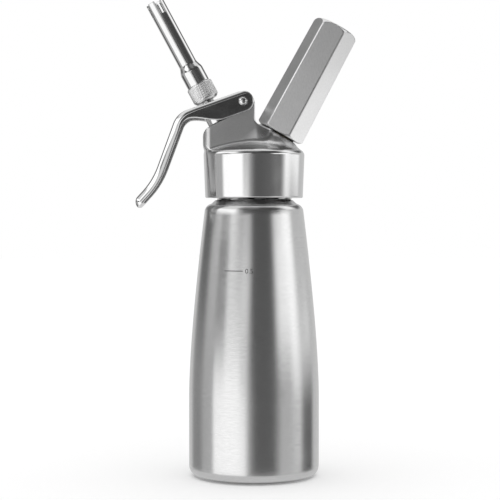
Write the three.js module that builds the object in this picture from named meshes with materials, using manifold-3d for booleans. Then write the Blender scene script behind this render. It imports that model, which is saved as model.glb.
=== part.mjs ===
// Whipped cream dispenser: a tapered stainless bottle, a screw-on head with a sprung dispensing
// valve, a stamped lever, a screw-on nozzle and a hexagonal holder for a gas charger.
// Millimetres, +Z up, lever towards -X. The origin is where the bottle's axis meets the table.
import * as THREE from 'three';
import { mergeVertices } from 'three/addons/utils/BufferGeometryUtils.js';
import Module from 'manifold-3d';

// Fits shared by all pieces
const fit = 0.3;
const sealGap = 0.15;
const threadGap = 0.6;
const overrun = 2;

// Facets round a turned piece, and steps along a curve
const bodySteps = 48;
const turnedSteps = 24;
const smallSteps = 16;
const curveSteps = 5;
const coarseSteps = 3;
const cornerSteps = 2;
const gripCornerSteps = 3;

// Bottle
const bottleRadius = 39;
const bottleWall = 1;
const bottleFloor = 1.6;
const bottleCorner = 6;
const straightHeight = 46;
const taperHeight = 113.3;
const taperBulgeShare = 0.32;
const shoulderHeight = 5.9;
const shoulderWidth = 3.9;
const shoulderLedge = 2.4;
const shoulderHeightShare = 0.63;
const shoulderCornerShare = 0.49;
const neckRadius = 21;
const footGrooveSetback = 4;
const footGrooveWidth = 2;
const footGrooveDepth = 0.5;

// Threaded ring welded round the neck
const neckRingThickness = 2.2;
const neckRingSetback = 1.2;

// Flat gasket between the bottle's mouth and the head
const gasketThickness = 3;
const gasketWidth = 3.4;

// Collar of the head
const cavityHeight = 20.5;
const collarWall = 5.4;
const collarRoof = 7.7;
const collarFlare = 1.1;
const collarFootGap = 1.3;
const collarRound = 2;
const collarLip = 0.7;
const crownRise = 6.1;
const crownFlatShare = 0.4;

// Flat-sided block that rises from the collar and ends in the lever's lug
const slabThickness = 27.4;
const slabRound = 3.2;
const pivotX = -6.5;
const lugRadius = 4.4;
const lugBack = 6.8;

// Lever, a stamped channel that straddles the block
const leverTilt = 19.4;
const leverOverhang = 7.8;
const leverSheet = 1.5;
const leverEarRadius = 6.3;
const leverSideGap = 0.5;
const leverCorner = 2.6;
const leverHandleHalfWidth = 13.2;
const leverHandleDepth = 5.3;
const leverHandleCorner = 4.6;
const leverBendRadius = 13.5;
const leverBend = 50.2;
const leverGripLength = 27;
const leverFlareLength = 17;
const leverFlare = -22;
const leverEndLength = 5;
const leverTipRound = 4.2;
const leverTipSteps = 4;
const leverDepthStartShare = 0.42;
const leverDepthEndShare = 1.05;
const leverWidthStartShare = 1.36;
const leverWidthEndShare = 2.95;
const leverCornerStartShare = 0.8;
const leverCornerEndShare = 1.5;
const leverSlotGap = 0.7;
const leverSlotSwing = 1.9;

// Riveted lever pin
const pinRadius = 1.9;
const pinHeadRadius = 2.5;
const pinHeadHeight = 1;

// Valve axis: tilt from upright, and its places measured along it from where it meets the
// bottle's axis
const valveTilt = 28.3;
const valveAxisRise = 6.3;
const valveSeatRise = 2.87;
const stemRadius = 3.9;
const stemBore = 2;
const valveSeatWidth = 0.8;
const valveDiscThickness = 2.2;
const valveSealThickness = 2.2;
const valvePocketGap = 1.2;
const chamberGap = 1.3;
const chamberLength = 9;
const guideLength = 6;
const portRadius = 1.5;
const ringGrooveDepth = 0.9;
const ringSection = 0.96;

// Valve return spring and the cap that holds it to the stem
const springWire = 1.1;
const springTurns = 6;
const springTurnSteps = 8;
const springSides = 5;
const springSideGap = 0.4;
const springPocketGap = 0.4;
const springPocketDepth = 9.9;
const capWall = 0.8;
const capPlate = 1.8;
const capHeight = 9.5;
const capAboveFace = 10.1;
const capChamfer = 1;
const capLeverGap = 0.47;

// Nozzle: a knurled ring round a slotted tube
const ringAboveSheet = 3.3;
const ringLength = 10.8;
const ringWall = 1.7;
const ringLip = 3.3;
const ringChamfer = 1.6;
const spigotWall = 1.8;
const bellStep = 1.1;
const bellLength = 8.9;
const bellTaper = 4.4;
const tubeRadius = 5.5;
const tubeWall = 1.1;
const tubeLength = 42.4;
const throatRadius = 2.4;
const slotWidth = 3.7;
const slotDepth = 8.5;
const slotTurn = -70;
const tipSealThickness = 1.3;

// Charger axis: tilt from upright, and its places measured as on the valve axis
const chargerTilt = 28.35;
const chargerAxisRise = 10.4;
const bossFaceRise = 19.42;
const bossRadius = 11.2;
const bossFootRadius = 19;
const bossFootHeight = 10.9;
const bossThroatRadius = 13.5;
const bossThroatShare = 0.78;
const bossShoulderWidth = 10;
const bossFaceStep = 0.4;
const studHoleRadius = 6.8;
const studHoleDepth = 11.6;
const gasPortRadius = 1.5;

// Threaded inlet stud with its piercing pin, gaskets and check valve
const studRadius = 9.7;
const studNeckGap = 0.7;
const studShoulderGap = 0.5;
const studFlangeStep = 1.4;
const studWasherThickness = 1.2;
const pinSeatRadius = 3.4;
const pinSeatHeight = 3;
const gasketDiscThickness = 1.6;
const gasketDiscHole = 1.7;
const piercingRadius = 1.1;
const piercingBore = 0.45;
const piercingTipShare = 1.2;
const piercingReach = 2.6;
const piercingPoint = 1.6;
const checkValveRadius = 2.9;
const checkValveHeight = 3;
const checkValveRoom = 0.7;
const retainerThickness = 1.4;
const retainerHole = 1.4;

// Gas charger, a pierced steel cartridge
const chargerRadius = 9;
const chargerLength = 66;
const chargerNeckRadius = 4.3;
const chargerNeckLength = 8;
const chargerShoulder = 8;
const chargerWall = 1.7;
const chargerCapWall = 1.2;
const pierceRadius = 1.5;

// Hexagonal charger holder
const holderLift = 1;
const holderWall = 2.75;
const holderHexTaper = 1.05;
const holderHexCorner = 2;
const holderHexTurn = -6.3;
const holderSideGap = 0.5;
const holderEndGap = 0.4;
const holderRoof = 3.3;
const holderFootRound = 2.4;
const holderTopRound = 4;

// Bottle and collar, from the neck outwards and from the table up
const neckRingRadius = neckRadius + neckRingThickness;
const shoulderRadius = neckRingRadius + shoulderLedge;
const taperRadius = shoulderRadius + shoulderWidth;
const cavityRadius = neckRingRadius + threadGap;
const collarFootRadius = cavityRadius + collarWall;
const collarTopRadius = collarFootRadius + collarFlare;
const collarHeight = cavityHeight + collarRoof;
const taperTop = straightHeight + taperHeight;
const ledgeTop = taperTop + shoulderHeight;
const headBase = ledgeTop + collarFootGap;
const mouthTop = headBase + cavityHeight - gasketThickness;

// The two tilted axes, in the head's own frame
const valveFrame = tiltedFrame(-valveTilt, valveAxisRise);
const chargerFrame = tiltedFrame(chargerTilt, chargerAxisRise);

// Valve, from the stem outwards and from its seat in the cavity's ceiling up to the nozzle
const chamberRadius = stemRadius + chamberGap;
const valveDiscRadius = chamberRadius + valveSeatWidth;
const capRadius = stemRadius + springWire + springSideGap * 2 + capWall;
const springPocketRadius = capRadius + springPocketGap;
const spigotRadius = stemRadius + fit + spigotWall;
const ringRadius = spigotRadius + fit + ringWall;
const bellRadius = spigotRadius + bellStep;
const tubeBore = tubeRadius - tubeWall;
const valveSeatAt = alongToHeight(valveFrame, cavityHeight) + valveSeatRise;
const sealTop = valveSeatAt - fit;
const discTop = sealTop - valveSealThickness - fit;
const chamberTop = valveSeatAt + chamberLength;
const guideTop = chamberTop + guideLength;
const valveFaceAt = guideTop + springPocketDepth;
const capTop = valveFaceAt + capAboveFace;
const ringBase = capTop + leverSheet + ringAboveSheet;
const ringTop = ringBase + ringLength;
const bellBase = ringTop + fit;
const tubeTop = bellBase + bellLength + bellTaper + tubeLength;
const stemTop = bellBase - fit - tipSealThickness - fit;

// Lever: its pivot stands where the web just clears the cap's rim
const leverHalfWidth = slabThickness / 2 + leverSideGap + leverSheet;
const pivotHeight = pivotHeightOverCap();
const leverWebLength = (collarTopRadius + pivotX) / Math.cos(radians(leverTilt)) + leverOverhang;

// Charger side, from the boss's face up to the holder's end
const bossFaceAt = alongToHeight(chargerFrame, cavityHeight) + bossFaceRise;
const studBase = bossFaceAt + fit + studWasherThickness;
const studFoot = bossFaceAt - studHoleDepth + fit;
const studBore = chargerNeckRadius + studNeckGap;
const pinSeatTop = bossFaceAt + studFlangeStep;
const chargerBase = pinSeatTop + fit + gasketDiscThickness + fit;
const chargerTop = chargerBase + chargerLength;
const studTop = chargerBase + chargerNeckLength - studShoulderGap;
const holderBase = bossFaceAt + holderLift;
const holderTop = chargerTop + holderEndGap + holderRoof;
const holderBore = chargerRadius + holderSideGap;
const holderThreadBore = studRadius + fit;
const holderHexTopRadius = (holderBore + holderWall) / Math.cos(Math.PI / 6);
const holderHexRadius = holderHexTopRadius + holderHexTaper;

const wasm = await Module();
wasm.setup();

function radians(degrees) {
  return THREE.MathUtils.degToRad(degrees);
}

function tiltedFrame(degrees, rise) {
  const turn = new THREE.Matrix4().makeRotationY(radians(degrees));
  return new THREE.Matrix4().makeTranslation(0, 0, rise).multiply(turn);
}

// Place in the head's side view of a point across and along a tilted axis
function sidePoint(frame, across, along) {
  const point = new THREE.Vector3(across, 0, along).applyMatrix4(frame);
  return new THREE.Vector2(point.x, point.z);
}

// Distance along a tilted axis at which it reaches a given height
function alongToHeight(frame, height) {
  const start = sidePoint(frame, 0, 0);
  const direction = sidePoint(frame, 0, 1).sub(start);
  return (height - start.y) / direction.y;
}

// Distance across a tilted axis at which the square face at along reaches a given x
function acrossAt(frame, x, along) {
  const centre = sidePoint(frame, 0, along);
  const direction = sidePoint(frame, 1, along).sub(centre);
  return (x - centre.x) / direction.x;
}

// A closed solid for cutting and joining, from a geometry whose shared corners are merged
function solidOf(geometry) {
  const bare = geometry.clone();
  bare.deleteAttribute('normal');
  bare.deleteAttribute('uv');
  const merged = mergeVertices(bare);
  const corners = merged.index.array;
  const triVerts = [];
  for (let i = 0; i < corners.length; i += 3) {
    const triangle = corners.subarray(i, i + 3);
    if (new Set(triangle).size === 3) triVerts.push(...triangle);
  }
  return new wasm.Manifold(new wasm.Mesh({
    numProp: 3,
    vertProperties: Float32Array.from(merged.attributes.position.array),
    triVerts: Uint32Array.from(triVerts),
  }));
}

// Geometry of a joined or cut solid. Faces that two joined shapes share can leave films of no
// volume, so only the largest body is kept.
function geometryOf(solid) {
  const bodies = solid.decompose().toSorted((a, b) => b.volume() - a.volume());
  const { vertProperties, triVerts } = bodies[0].getMesh();
  const geometry = new THREE.BufferGeometry();
  geometry.setAttribute('position', new THREE.BufferAttribute(vertProperties, 3));
  geometry.setIndex(new THREE.BufferAttribute(triVerts, 1));
  return geometry;
}

// A turned piece about Z from [radius, height] pairs, anticlockwise as seen with the axis on
// the left. An outline that doesn't start on the axis closes on itself.
function turned(outline, steps) {
  const points = outline.map(([radius, height]) => new THREE.Vector2(radius, height));
  if (points[0].x > 0) points.push(points[0].clone());
  return new THREE.LatheGeometry(points, steps).rotateX(Math.PI / 2);
}

function rod(radius, from, to, steps) {
  return turned([[0, from], [radius, from], [radius, to], [0, to]], steps);
}

function sleeve(inner, outer, from, to, steps) {
  return turned([[inner, from], [outer, from], [outer, to], [inner, to]], steps);
}

// A rod lying along Y, centred on the pivot line
function crossRod(radius, from, to, steps) {
  return rod(radius, from, to, steps).rotateX(Math.PI / 2);
}

// A side-view outline, drawn in x and z, given a thickness across Y
function plate(shape, thickness) {
  const geometry = new THREE.ExtrudeGeometry(shape, {
    depth: thickness, bevelEnabled: false, curveSegments: curveSteps,
  });
  return geometry.rotateX(Math.PI / 2).translate(0, thickness / 2, 0);
}

function pathPairs(path, steps = curveSteps) {
  return path.getPoints(steps).map(({ x, y }) => [x, y]);
}

// A lofted solid through sections of equal counts. Each section is a list of flat points, and
// place(section number, point) sets a point in space.
function loft(sections, place) {
  const count = sections[0].length;
  const positions = [];
  sections.forEach((section, k) => {
    section.forEach((point) => positions.push(...place(k, point).toArray()));
  });
  const index = [];
  for (let k = 0; k + 1 < sections.length; k += 1) {
    for (let i = 0; i < count; i += 1) {
      const next = (i + 1) % count;
      const [a, b] = [k * count + i, k * count + next];
      index.push(a, b, b + count, a, b + count, a + count);
    }
  }
  endFaces(sections[0]).forEach(([a, b, c]) => index.push(c, b, a));
  const last = (sections.length - 1) * count;
  endFaces(sections.at(-1)).forEach(([a, b, c]) => index.push(last + a, last + b, last + c));
  const geometry = new THREE.BufferGeometry();
  geometry.setAttribute('position', new THREE.Float32BufferAttribute(positions, 3));
  geometry.setIndex(signedVolume(positions, index) < 0 ? index.reverse() : index);
  return geometry;
}

// Triangles that fill a flat section, in the section's own direction
function endFaces(section) {
  const forward = Math.sign(THREE.ShapeUtils.area(section));
  return THREE.ShapeUtils.triangulateShape(section, []).map((face) => {
    const corners = face.map((i) => section[i]);
    return Math.sign(THREE.ShapeUtils.area(corners)) === forward ? face : face.toReversed();
  });
}

function signedVolume(positions, index) {
  const corner = (i) => new THREE.Vector3().fromArray(positions, index[i] * 3);
  let volume = 0;
  for (let i = 0; i < index.length; i += 3) {
    volume += corner(i).dot(corner(i + 1).cross(corner(i + 2))) / 6;
  }
  return volume;
}

// Bottle

// Side of the bottle from the middle of its floor to its mouth, moved in by a wall
function bottleSide(inset, floor) {
  const side = new THREE.Path();
  const radius = bottleRadius - inset;
  const corner = bottleCorner - inset;
  const ledge = shoulderRadius + (taperRadius - shoulderRadius) * shoulderCornerShare;
  side.moveTo(0, floor);
  if (inset === 0) {
    const groove = radius - corner - footGrooveSetback;
    side.lineTo(groove - footGrooveWidth, floor);
    side.lineTo(groove - footGrooveWidth, floor + footGrooveDepth);
    side.lineTo(groove, floor + footGrooveDepth);
    side.lineTo(groove, floor);
  }
  side.lineTo(radius - corner, floor);
  side.absarc(radius - corner, floor + corner, corner, -Math.PI / 2, 0, false);
  side.lineTo(radius, straightHeight);
  side.quadraticCurveTo(
    radius, straightHeight + taperHeight * taperBulgeShare, taperRadius - inset, taperTop,
  );
  side.quadraticCurveTo(
    ledge - inset + (taperRadius - ledge) / 2, taperTop + shoulderHeight / 2 - inset,
    shoulderRadius - inset, taperTop + shoulderHeight * shoulderHeightShare - inset,
  );
  side.lineTo(neckRingRadius - inset, ledgeTop - inset);
  side.lineTo(neckRadius - inset, ledgeTop - inset);
  side.lineTo(neckRadius - inset, mouthTop);
  return pathPairs(side, coarseSteps);
}

function bottleGeometry() {
  const outside = bottleSide(0, 0);
  const inside = bottleSide(bottleWall, bottleFloor);
  return turned([...outside, ...inside.toReversed()], bodySteps);
}

function neckRingGeometry() {
  const top = mouthTop - neckRingSetback;
  return sleeve(neckRadius + fit, neckRingRadius, ledgeTop, top, bodySteps);
}

// Head, drawn from the collar's foot at height 0

function collarSolid() {
  const collar = new THREE.Path();
  const roundBase = collarHeight - collarRound;
  collar.moveTo(0, 0);
  collar.lineTo(collarFootRadius - collarLip, 0);
  collar.lineTo(collarFootRadius, collarLip);
  collar.lineTo(collarTopRadius, roundBase);
  collar.quadraticCurveTo(collarTopRadius, collarHeight, collarTopRadius - collarRound, collarHeight);
  collar.quadraticCurveTo(
    collarTopRadius * crownFlatShare, collarHeight + crownRise, 0, collarHeight + crownRise,
  );
  return solidOf(turned(pathPairs(collar), bodySteps));
}

function slabOutline() {
  const foot = collarHeight - collarRound;
  const left = -collarTopRadius;
  const corner = sidePoint(valveFrame, acrossAt(valveFrame, left, valveFaceAt), valveFaceAt);
  const lugLeft = pivotX - lugRadius;
  const lugRight = pivotX + lugBack;
  const afterCorner = acrossAt(valveFrame, left + slabRound, valveFaceAt);
  const lugRoot = acrossAt(valveFrame, lugLeft, valveFaceAt);
  const shoulderAt = bossFaceAt - bossFaceStep;
  const bossRoot = acrossAt(chargerFrame, lugRight, shoulderAt);
  const pocketEdge = sidePoint(chargerFrame, -bossShoulderWidth, shoulderAt);
  const pocketFoot = sidePoint(chargerFrame, -bossShoulderWidth, shoulderAt - bossFootHeight - overrun);
  const shape = new THREE.Shape();
  shape.moveTo(left, foot);
  shape.lineTo(left, corner.y - slabRound);
  shape.quadraticCurveTo(
    corner.x, corner.y, ...sidePoint(valveFrame, afterCorner, valveFaceAt).toArray(),
  );
  shape.lineTo(...sidePoint(valveFrame, lugRoot, valveFaceAt).toArray());
  shape.lineTo(lugLeft, pivotHeight);
  shape.absarc(pivotX, pivotHeight, lugRadius, Math.PI, Math.PI / 2, true);
  shape.quadraticCurveTo(lugRight, pivotHeight + lugRadius, lugRight, pivotHeight);
  shape.lineTo(...sidePoint(chargerFrame, bossRoot, shoulderAt).toArray());
  shape.lineTo(...pocketEdge.toArray());
  shape.lineTo(...pocketFoot.toArray());
  shape.lineTo(pocketFoot.x, foot);
  return shape;
}

function bossSolid() {
  const boss = new THREE.Path();
  const foot = bossFaceAt - bossFootHeight;
  boss.moveTo(0, foot);
  boss.lineTo(bossFootRadius, foot);
  boss.quadraticCurveTo(
    bossThroatRadius, foot + bossFootHeight * bossThroatShare, bossRadius, bossFaceAt,
  );
  boss.lineTo(0, bossFaceAt);
  return solidOf(turned(pathPairs(boss), turnedSteps).applyMatrix4(chargerFrame));
}

// Room for the valve: disc pocket, chamber, stem guide and spring pocket on one axis
function valveBore() {
  const pocket = valveDiscRadius + valvePocketGap;
  const guide = stemRadius + fit;
  const below = valveSeatAt - valveDiscThickness - valveSealThickness - capHeight;
  return solidOf(turned([
    [0, below], [pocket, below], [pocket, valveSeatAt],
    [chamberRadius, valveSeatAt], [chamberRadius, chamberTop],
    [guide, chamberTop], [guide, guideTop],
    [springPocketRadius, guideTop], [springPocketRadius, valveFaceAt + overrun],
    [0, valveFaceAt + overrun],
  ], turnedSteps).applyMatrix4(valveFrame));
}

// Room for the inlet stud, with the gas channel down into the bottle
function inletBore() {
  const floor = bossFaceAt - studHoleDepth;
  return solidOf(turned([
    [0, 0], [gasPortRadius, 0], [gasPortRadius, floor],
    [studHoleRadius, floor], [studHoleRadius, bossFaceAt + overrun],
    [0, bossFaceAt + overrun],
  ], turnedSteps).applyMatrix4(chargerFrame));
}

function headGeometry() {
  const round = solidOf(rod(collarTopRadius, 0, pivotHeight + lugRadius + overrun, bodySteps));
  const slab = solidOf(plate(slabOutline(), slabThickness)).intersect(round);
  const cavity = solidOf(rod(cavityRadius, -overrun, cavityHeight, bodySteps));
  const pinHole = crossRod(pinRadius + fit, -slabThickness, slabThickness, smallSteps);
  return geometryOf(collarSolid()
    .add(slab)
    .add(bossSolid())
    .subtract(cavity)
    .subtract(valveBore())
    .subtract(inletBore())
    .subtract(solidOf(pinHole.translate(pivotX, 0, pivotHeight))));
}

function headGasketGeometry() {
  const outer = cavityRadius - fit;
  const from = cavityHeight - gasketThickness;
  return sleeve(outer - gasketWidth, outer, from, cavityHeight, bodySteps);
}

// Lever, drawn round its pivot at the origin

// Height at which the web's underside clears the near rim of the cap below it
function pivotHeightOverCap() {
  const rim = sidePoint(valveFrame, capRadius - capChamfer, capTop);
  const under = leverEarRadius - leverSheet - capLeverGap;
  const tilt = radians(leverTilt);
  return rim.y - (under + (rim.x - pivotX) * Math.sin(tilt)) / Math.cos(tilt);
}

// Stations along the lever's outer skin: place, heading and distance from the pivot end
function leverStations() {
  const bendLength = leverBendRadius * radians(leverBend);
  const moves = [
    { length: leverWebLength * leverDepthStartShare, turn: 0, steps: 2 },
    { length: leverWebLength * (1 - leverDepthStartShare), turn: 0, steps: 8 },
    { length: bendLength, turn: radians(leverBend), steps: 8 },
    { length: leverGripLength, turn: 0, steps: 5 },
    { length: leverFlareLength, turn: radians(leverFlare), steps: 5 },
    { length: leverEndLength, turn: 0, steps: 1 },
  ];
  const tilt = radians(leverTilt);
  let heading = Math.PI + tilt;
  let place = new THREE.Vector2(-Math.sin(tilt), Math.cos(tilt));
  place = place.multiplyScalar(leverEarRadius);
  let distance = 0;
  const stations = [{ place, heading, distance }];
  moves.forEach(({ length, turn, steps }) => {
    for (let i = 0; i < steps; i += 1) {
      const middle = heading + turn / steps / 2;
      const step = new THREE.Vector2(Math.cos(middle), Math.sin(middle));
      place = place.clone().add(step.multiplyScalar(length / steps));
      heading += turn / steps;
      distance += length / steps;
      stations.push({ place, heading, distance });
    }
  });
  return stations;
}

// Half width, depth and corner radius of the channel at a distance from the pivot end
function leverFormAt(distance) {
  const { smoothstep, lerp } = THREE.MathUtils;
  const along = distance / leverWebLength;
  const narrowing = smoothstep(along, leverWidthStartShare, leverWidthEndShare);
  const thinning = smoothstep(along, leverDepthStartShare, leverDepthEndShare);
  const rounding = smoothstep(along, leverCornerStartShare, leverCornerEndShare);
  return {
    halfWidth: lerp(leverHalfWidth, leverHandleHalfWidth, narrowing),
    depth: lerp(leverEarRadius * 2, leverHandleDepth, thinning),
    corner: lerp(leverCorner, leverHandleCorner, rounding),
  };
}

// Half of a channel's outline, from the middle of its web to its free edge
function channelHalf({ halfWidth, depth, corner }, inset) {
  const radius = corner - inset;
  const half = new THREE.Path();
  half.moveTo(halfWidth - corner, inset);
  half.absarc(halfWidth - corner, corner, radius, -Math.PI / 2, 0, false);
  half.lineTo(halfWidth - inset, depth);
  return half.getPoints(gripCornerSteps);
}

function channelSection(form) {
  const outer = channelHalf(form, 0);
  const inner = channelHalf(form, leverSheet);
  const mirror = ({ x, y }) => new THREE.Vector2(-x, y);
  return [
    ...outer,
    ...inner.toReversed(),
    ...inner.map(mirror),
    ...outer.toReversed().map(mirror),
  ];
}

function solidSection(form) {
  const outer = channelHalf(form, 0);
  const mirror = ({ x, y }) => new THREE.Vector2(-x, y);
  return [...outer, ...outer.toReversed().map(mirror)];
}

// A flat section point set across the lever at a station
function atStation({ place, heading }, { x, y }) {
  return new THREE.Vector3(
    place.x - y * Math.sin(heading), x, place.y + y * Math.cos(heading),
  );
}

// Closed, rounded tip of the handle
function leverTip(end) {
  const form = leverFormAt(end.distance);
  const sections = [];
  const stations = [];
  const lastAngle = (Math.PI / 2) * (1 - 1 / (leverTipSteps * 2));
  for (let i = 0; i <= leverTipSteps; i += 1) {
    const angle = (i / leverTipSteps) * lastAngle;
    const run = leverTipRound * Math.sin(angle);
    const inset = leverTipRound * (1 - Math.cos(angle));
    const lift = inset * leverHandleDepth / leverTipRound / 2;
    const along = new THREE.Vector2(Math.cos(end.heading), Math.sin(end.heading));
    const inward = new THREE.Vector2(-Math.sin(end.heading), Math.cos(end.heading));
    const place = end.place.clone().addScaledVector(along, run).addScaledVector(inward, lift);
    stations.push({ place, heading: end.heading });
    sections.push(solidSection({ ...form, halfWidth: form.halfWidth - inset }));
  }
  return loft(sections, (k, point) => atStation(stations[k], point));
}

// Opening in the web that the valve stem passes through, in the head's frame
function stemSlot() {
  const side = stemRadius + leverSlotGap;
  const reach = leverSlotSwing - leverSlotGap;
  const shape = new THREE.Shape();
  shape.absarc(0, 0, side, Math.PI / 2, -Math.PI / 2, false);
  shape.absarc(reach, 0, side, -Math.PI / 2, Math.PI / 2, false);
  const geometry = new THREE.ExtrudeGeometry(shape, {
    depth: capPlate + leverSheet + ringAboveSheet + capHeight, bevelEnabled: false,
    curveSegments: curveSteps,
  });
  return geometry.translate(0, 0, capTop - capPlate).applyMatrix4(valveFrame);
}

function leverGeometry() {
  const stations = leverStations();
  const sections = stations.map(({ distance }) => channelSection(leverFormAt(distance)));
  const channel = loft(sections, (k, point) => atStation(stations[k], point));
  const ear = (from, to) => solidOf(crossRod(leverEarRadius, from, to, turnedSteps));
  const inner = leverHalfWidth - leverSheet;
  const slot = stemSlot().translate(-pivotX, 0, -pivotHeight);
  const pinHole = crossRod(pinRadius + fit, -leverHalfWidth - overrun, leverHalfWidth + overrun, smallSteps);
  return geometryOf(solidOf(channel)
    .add(ear(inner, leverHalfWidth))
    .add(ear(-leverHalfWidth, -inner))
    .add(solidOf(leverTip(stations.at(-1))))
    .subtract(solidOf(slot))
    .subtract(solidOf(pinHole)));
}

function leverPinGeometry() {
  const seat = leverHalfWidth + fit;
  const pin = new THREE.Path();
  pin.moveTo(0, -seat - pinHeadHeight);
  pin.quadraticCurveTo(pinHeadRadius, -seat - pinHeadHeight, pinHeadRadius, -seat);
  pin.lineTo(pinRadius, -seat);
  pin.lineTo(pinRadius, seat);
  pin.lineTo(pinHeadRadius, seat);
  pin.quadraticCurveTo(pinHeadRadius, seat + pinHeadHeight, 0, seat + pinHeadHeight);
  return turned(pathPairs(pin), smallSteps).rotateX(Math.PI / 2);
}

// Valve, drawn along its own axis

function valveStemGeometry() {
  const discBase = discTop - valveDiscThickness;
  const grooveMiddle = chamberTop + guideLength / 2;
  const grooveHalf = ringSection / 2 + sealGap;
  const grooveRadius = stemRadius - ringGrooveDepth;
  const boreFloor = discTop + valveSealThickness;
  const stem = solidOf(turned([
    [0, discBase], [valveDiscRadius, discBase], [valveDiscRadius, discTop],
    [stemRadius, discTop],
    [stemRadius, grooveMiddle - grooveHalf], [grooveRadius, grooveMiddle - grooveHalf],
    [grooveRadius, grooveMiddle + grooveHalf], [stemRadius, grooveMiddle + grooveHalf],
    [stemRadius, stemTop], [stemBore, stemTop], [stemBore, boreFloor], [0, boreFloor],
  ], turnedSteps));
  const port = crossRod(portRadius, -stemRadius - overrun, stemRadius + overrun, smallSteps);
  const portHeight = valveSeatAt + chamberLength / 2;
  const otherPort = port.clone().rotateZ(Math.PI / 2);
  return geometryOf(stem
    .subtract(solidOf(port.translate(0, 0, portHeight)))
    .subtract(solidOf(otherPort.translate(0, 0, portHeight))));
}

function valveSealGeometry() {
  const base = sealTop - valveSealThickness;
  return sleeve(stemRadius + sealGap, valveDiscRadius, base, sealTop, turnedSteps);
}

function stemRingGeometry() {
  const section = ringSection / 2;
  const middle = (stemRadius - ringGrooveDepth + stemRadius + fit) / 2;
  const height = chamberTop + guideLength / 2;
  const ring = new THREE.Path().absarc(middle, height, section, 0, Math.PI * 2, false);
  return turned(pathPairs(ring, coarseSteps).slice(0, -1), turnedSteps);
}

function springCapGeometry() {
  const base = capTop - capHeight;
  const roof = capTop - capPlate;
  return turned([
    [capRadius - capWall, base], [capRadius, base], [capRadius, capTop - capChamfer],
    [capRadius - capChamfer, capTop], [stemRadius + fit, capTop], [stemRadius + fit, roof],
    [capRadius - capWall, roof],
  ], turnedSteps);
}

// Compression spring as one unbroken tube whose ends stand square to its coils
function valveSpringGeometry() {
  const wireRadius = springWire / 2;
  const radius = (stemRadius + capRadius - capWall) / 2;
  const from = guideTop + fit + wireRadius;
  const rise = capTop - capPlate - fit - wireRadius - from;
  const count = springTurnSteps * springTurns;
  const centres = [];
  for (let i = 0; i <= count; i += 1) {
    const angle = (i / springTurnSteps) * Math.PI * 2;
    centres.push(new THREE.Vector3(
      radius * Math.cos(angle), radius * Math.sin(angle), from + rise * i / count,
    ));
  }
  console.log(`valve spring: least gap to itself ${leastGap(centres).toFixed(2)} mm`);
  const section = [];
  for (let j = 0; j < springSides; j += 1) {
    const angle = (j / springSides) * Math.PI * 2;
    section.push(new THREE.Vector2(Math.cos(angle), Math.sin(angle)).multiplyScalar(wireRadius));
  }
  return loft(centres.map(() => section), (k, point) => {
    const outward = new THREE.Vector3(centres[k].x, centres[k].y, 0).normalize();
    const up = new THREE.Vector3(0, 0, point.y);
    return centres[k].clone().addScaledVector(outward, point.x).add(up);
  });
}

function leastGap(centres) {
  let least = Infinity;
  centres.forEach((centre, i) => {
    for (let k = i + springTurnSteps / 2; k < centres.length; k += 1) {
      least = Math.min(least, centre.distanceTo(centres[k]) - springWire);
    }
  });
  return least;
}

// Nozzle, drawn along the valve axis

function tipRingGeometry() {
  return turned([
    [stemRadius + fit, ringBase], [ringRadius - ringChamfer, ringBase],
    [ringRadius, ringBase + ringChamfer], [ringRadius, ringTop],
    [spigotRadius + fit, ringTop], [spigotRadius + fit, ringBase + ringLip],
    [stemRadius + fit, ringBase + ringLip],
  ], turnedSteps);
}

function nozzleTubeGeometry() {
  const bellTop = bellBase + bellLength;
  const coneTop = bellTop + bellTaper;
  const socket = stemRadius + fit;
  const flare = new THREE.Path();
  flare.moveTo(bellRadius, bellTop);
  flare.bezierCurveTo(
    bellRadius, (bellTop + coneTop) / 2, tubeRadius, (bellTop + coneTop) / 2, tubeRadius, coneTop,
  );
  const tube = solidOf(turned([
    [socket, ringBase + ringLip + fit], [spigotRadius, ringBase + ringLip + fit],
    [spigotRadius, bellBase], [bellRadius, bellBase], ...pathPairs(flare),
    [tubeRadius, tubeTop], [tubeBore, tubeTop], [tubeBore, coneTop],
    [throatRadius, bellTop], [throatRadius, bellBase], [socket, bellBase],
  ], turnedSteps));
  const slotLength = (tubeRadius + overrun) * 2;
  const slotBox = new THREE.BoxGeometry(slotLength, slotWidth, slotDepth + overrun);
  const slot = slotBox.translate(0, 0, tubeTop + (overrun - slotDepth) / 2);
  slot.rotateZ(radians(slotTurn));
  const otherSlot = slot.clone().rotateZ(Math.PI / 2);
  return geometryOf(tube.subtract(solidOf(slot)).subtract(solidOf(otherSlot)));
}

function tipSealGeometry() {
  const top = bellBase - fit;
  return sleeve(throatRadius, stemRadius, top - tipSealThickness, top, turnedSteps);
}

// Charger side, drawn along the charger axis

function inletStudGeometry() {
  const spigot = studHoleRadius - fit;
  const pinSeat = pinSeatTop - pinSeatHeight - fit;
  const valveRoom = studFoot + retainerThickness + fit + checkValveHeight + checkValveRoom;
  return turned([
    [checkValveRadius + fit, studFoot], [spigot, studFoot], [spigot, studBase],
    [studRadius, studBase], [studRadius, studTop], [studBore, studTop], [studBore, pinSeatTop],
    [pinSeatRadius, pinSeatTop], [pinSeatRadius, pinSeat], [gasPortRadius, pinSeat],
    [gasPortRadius, valveRoom], [checkValveRadius + fit, valveRoom],
  ], turnedSteps);
}

function studWasherGeometry() {
  const from = bossFaceAt + fit;
  const outer = studRadius;
  return sleeve(studHoleRadius, outer, from, from + studWasherThickness - fit, turnedSteps);
}

function checkValveGeometry() {
  const base = studFoot + retainerThickness + fit;
  const top = base + checkValveHeight;
  return turned([
    [0, base], [checkValveRadius, base], [checkValveRadius, base + checkValveHeight / 2],
    [gasPortRadius - fit, top - fit], [0, top - fit],
  ], smallSteps);
}

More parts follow.
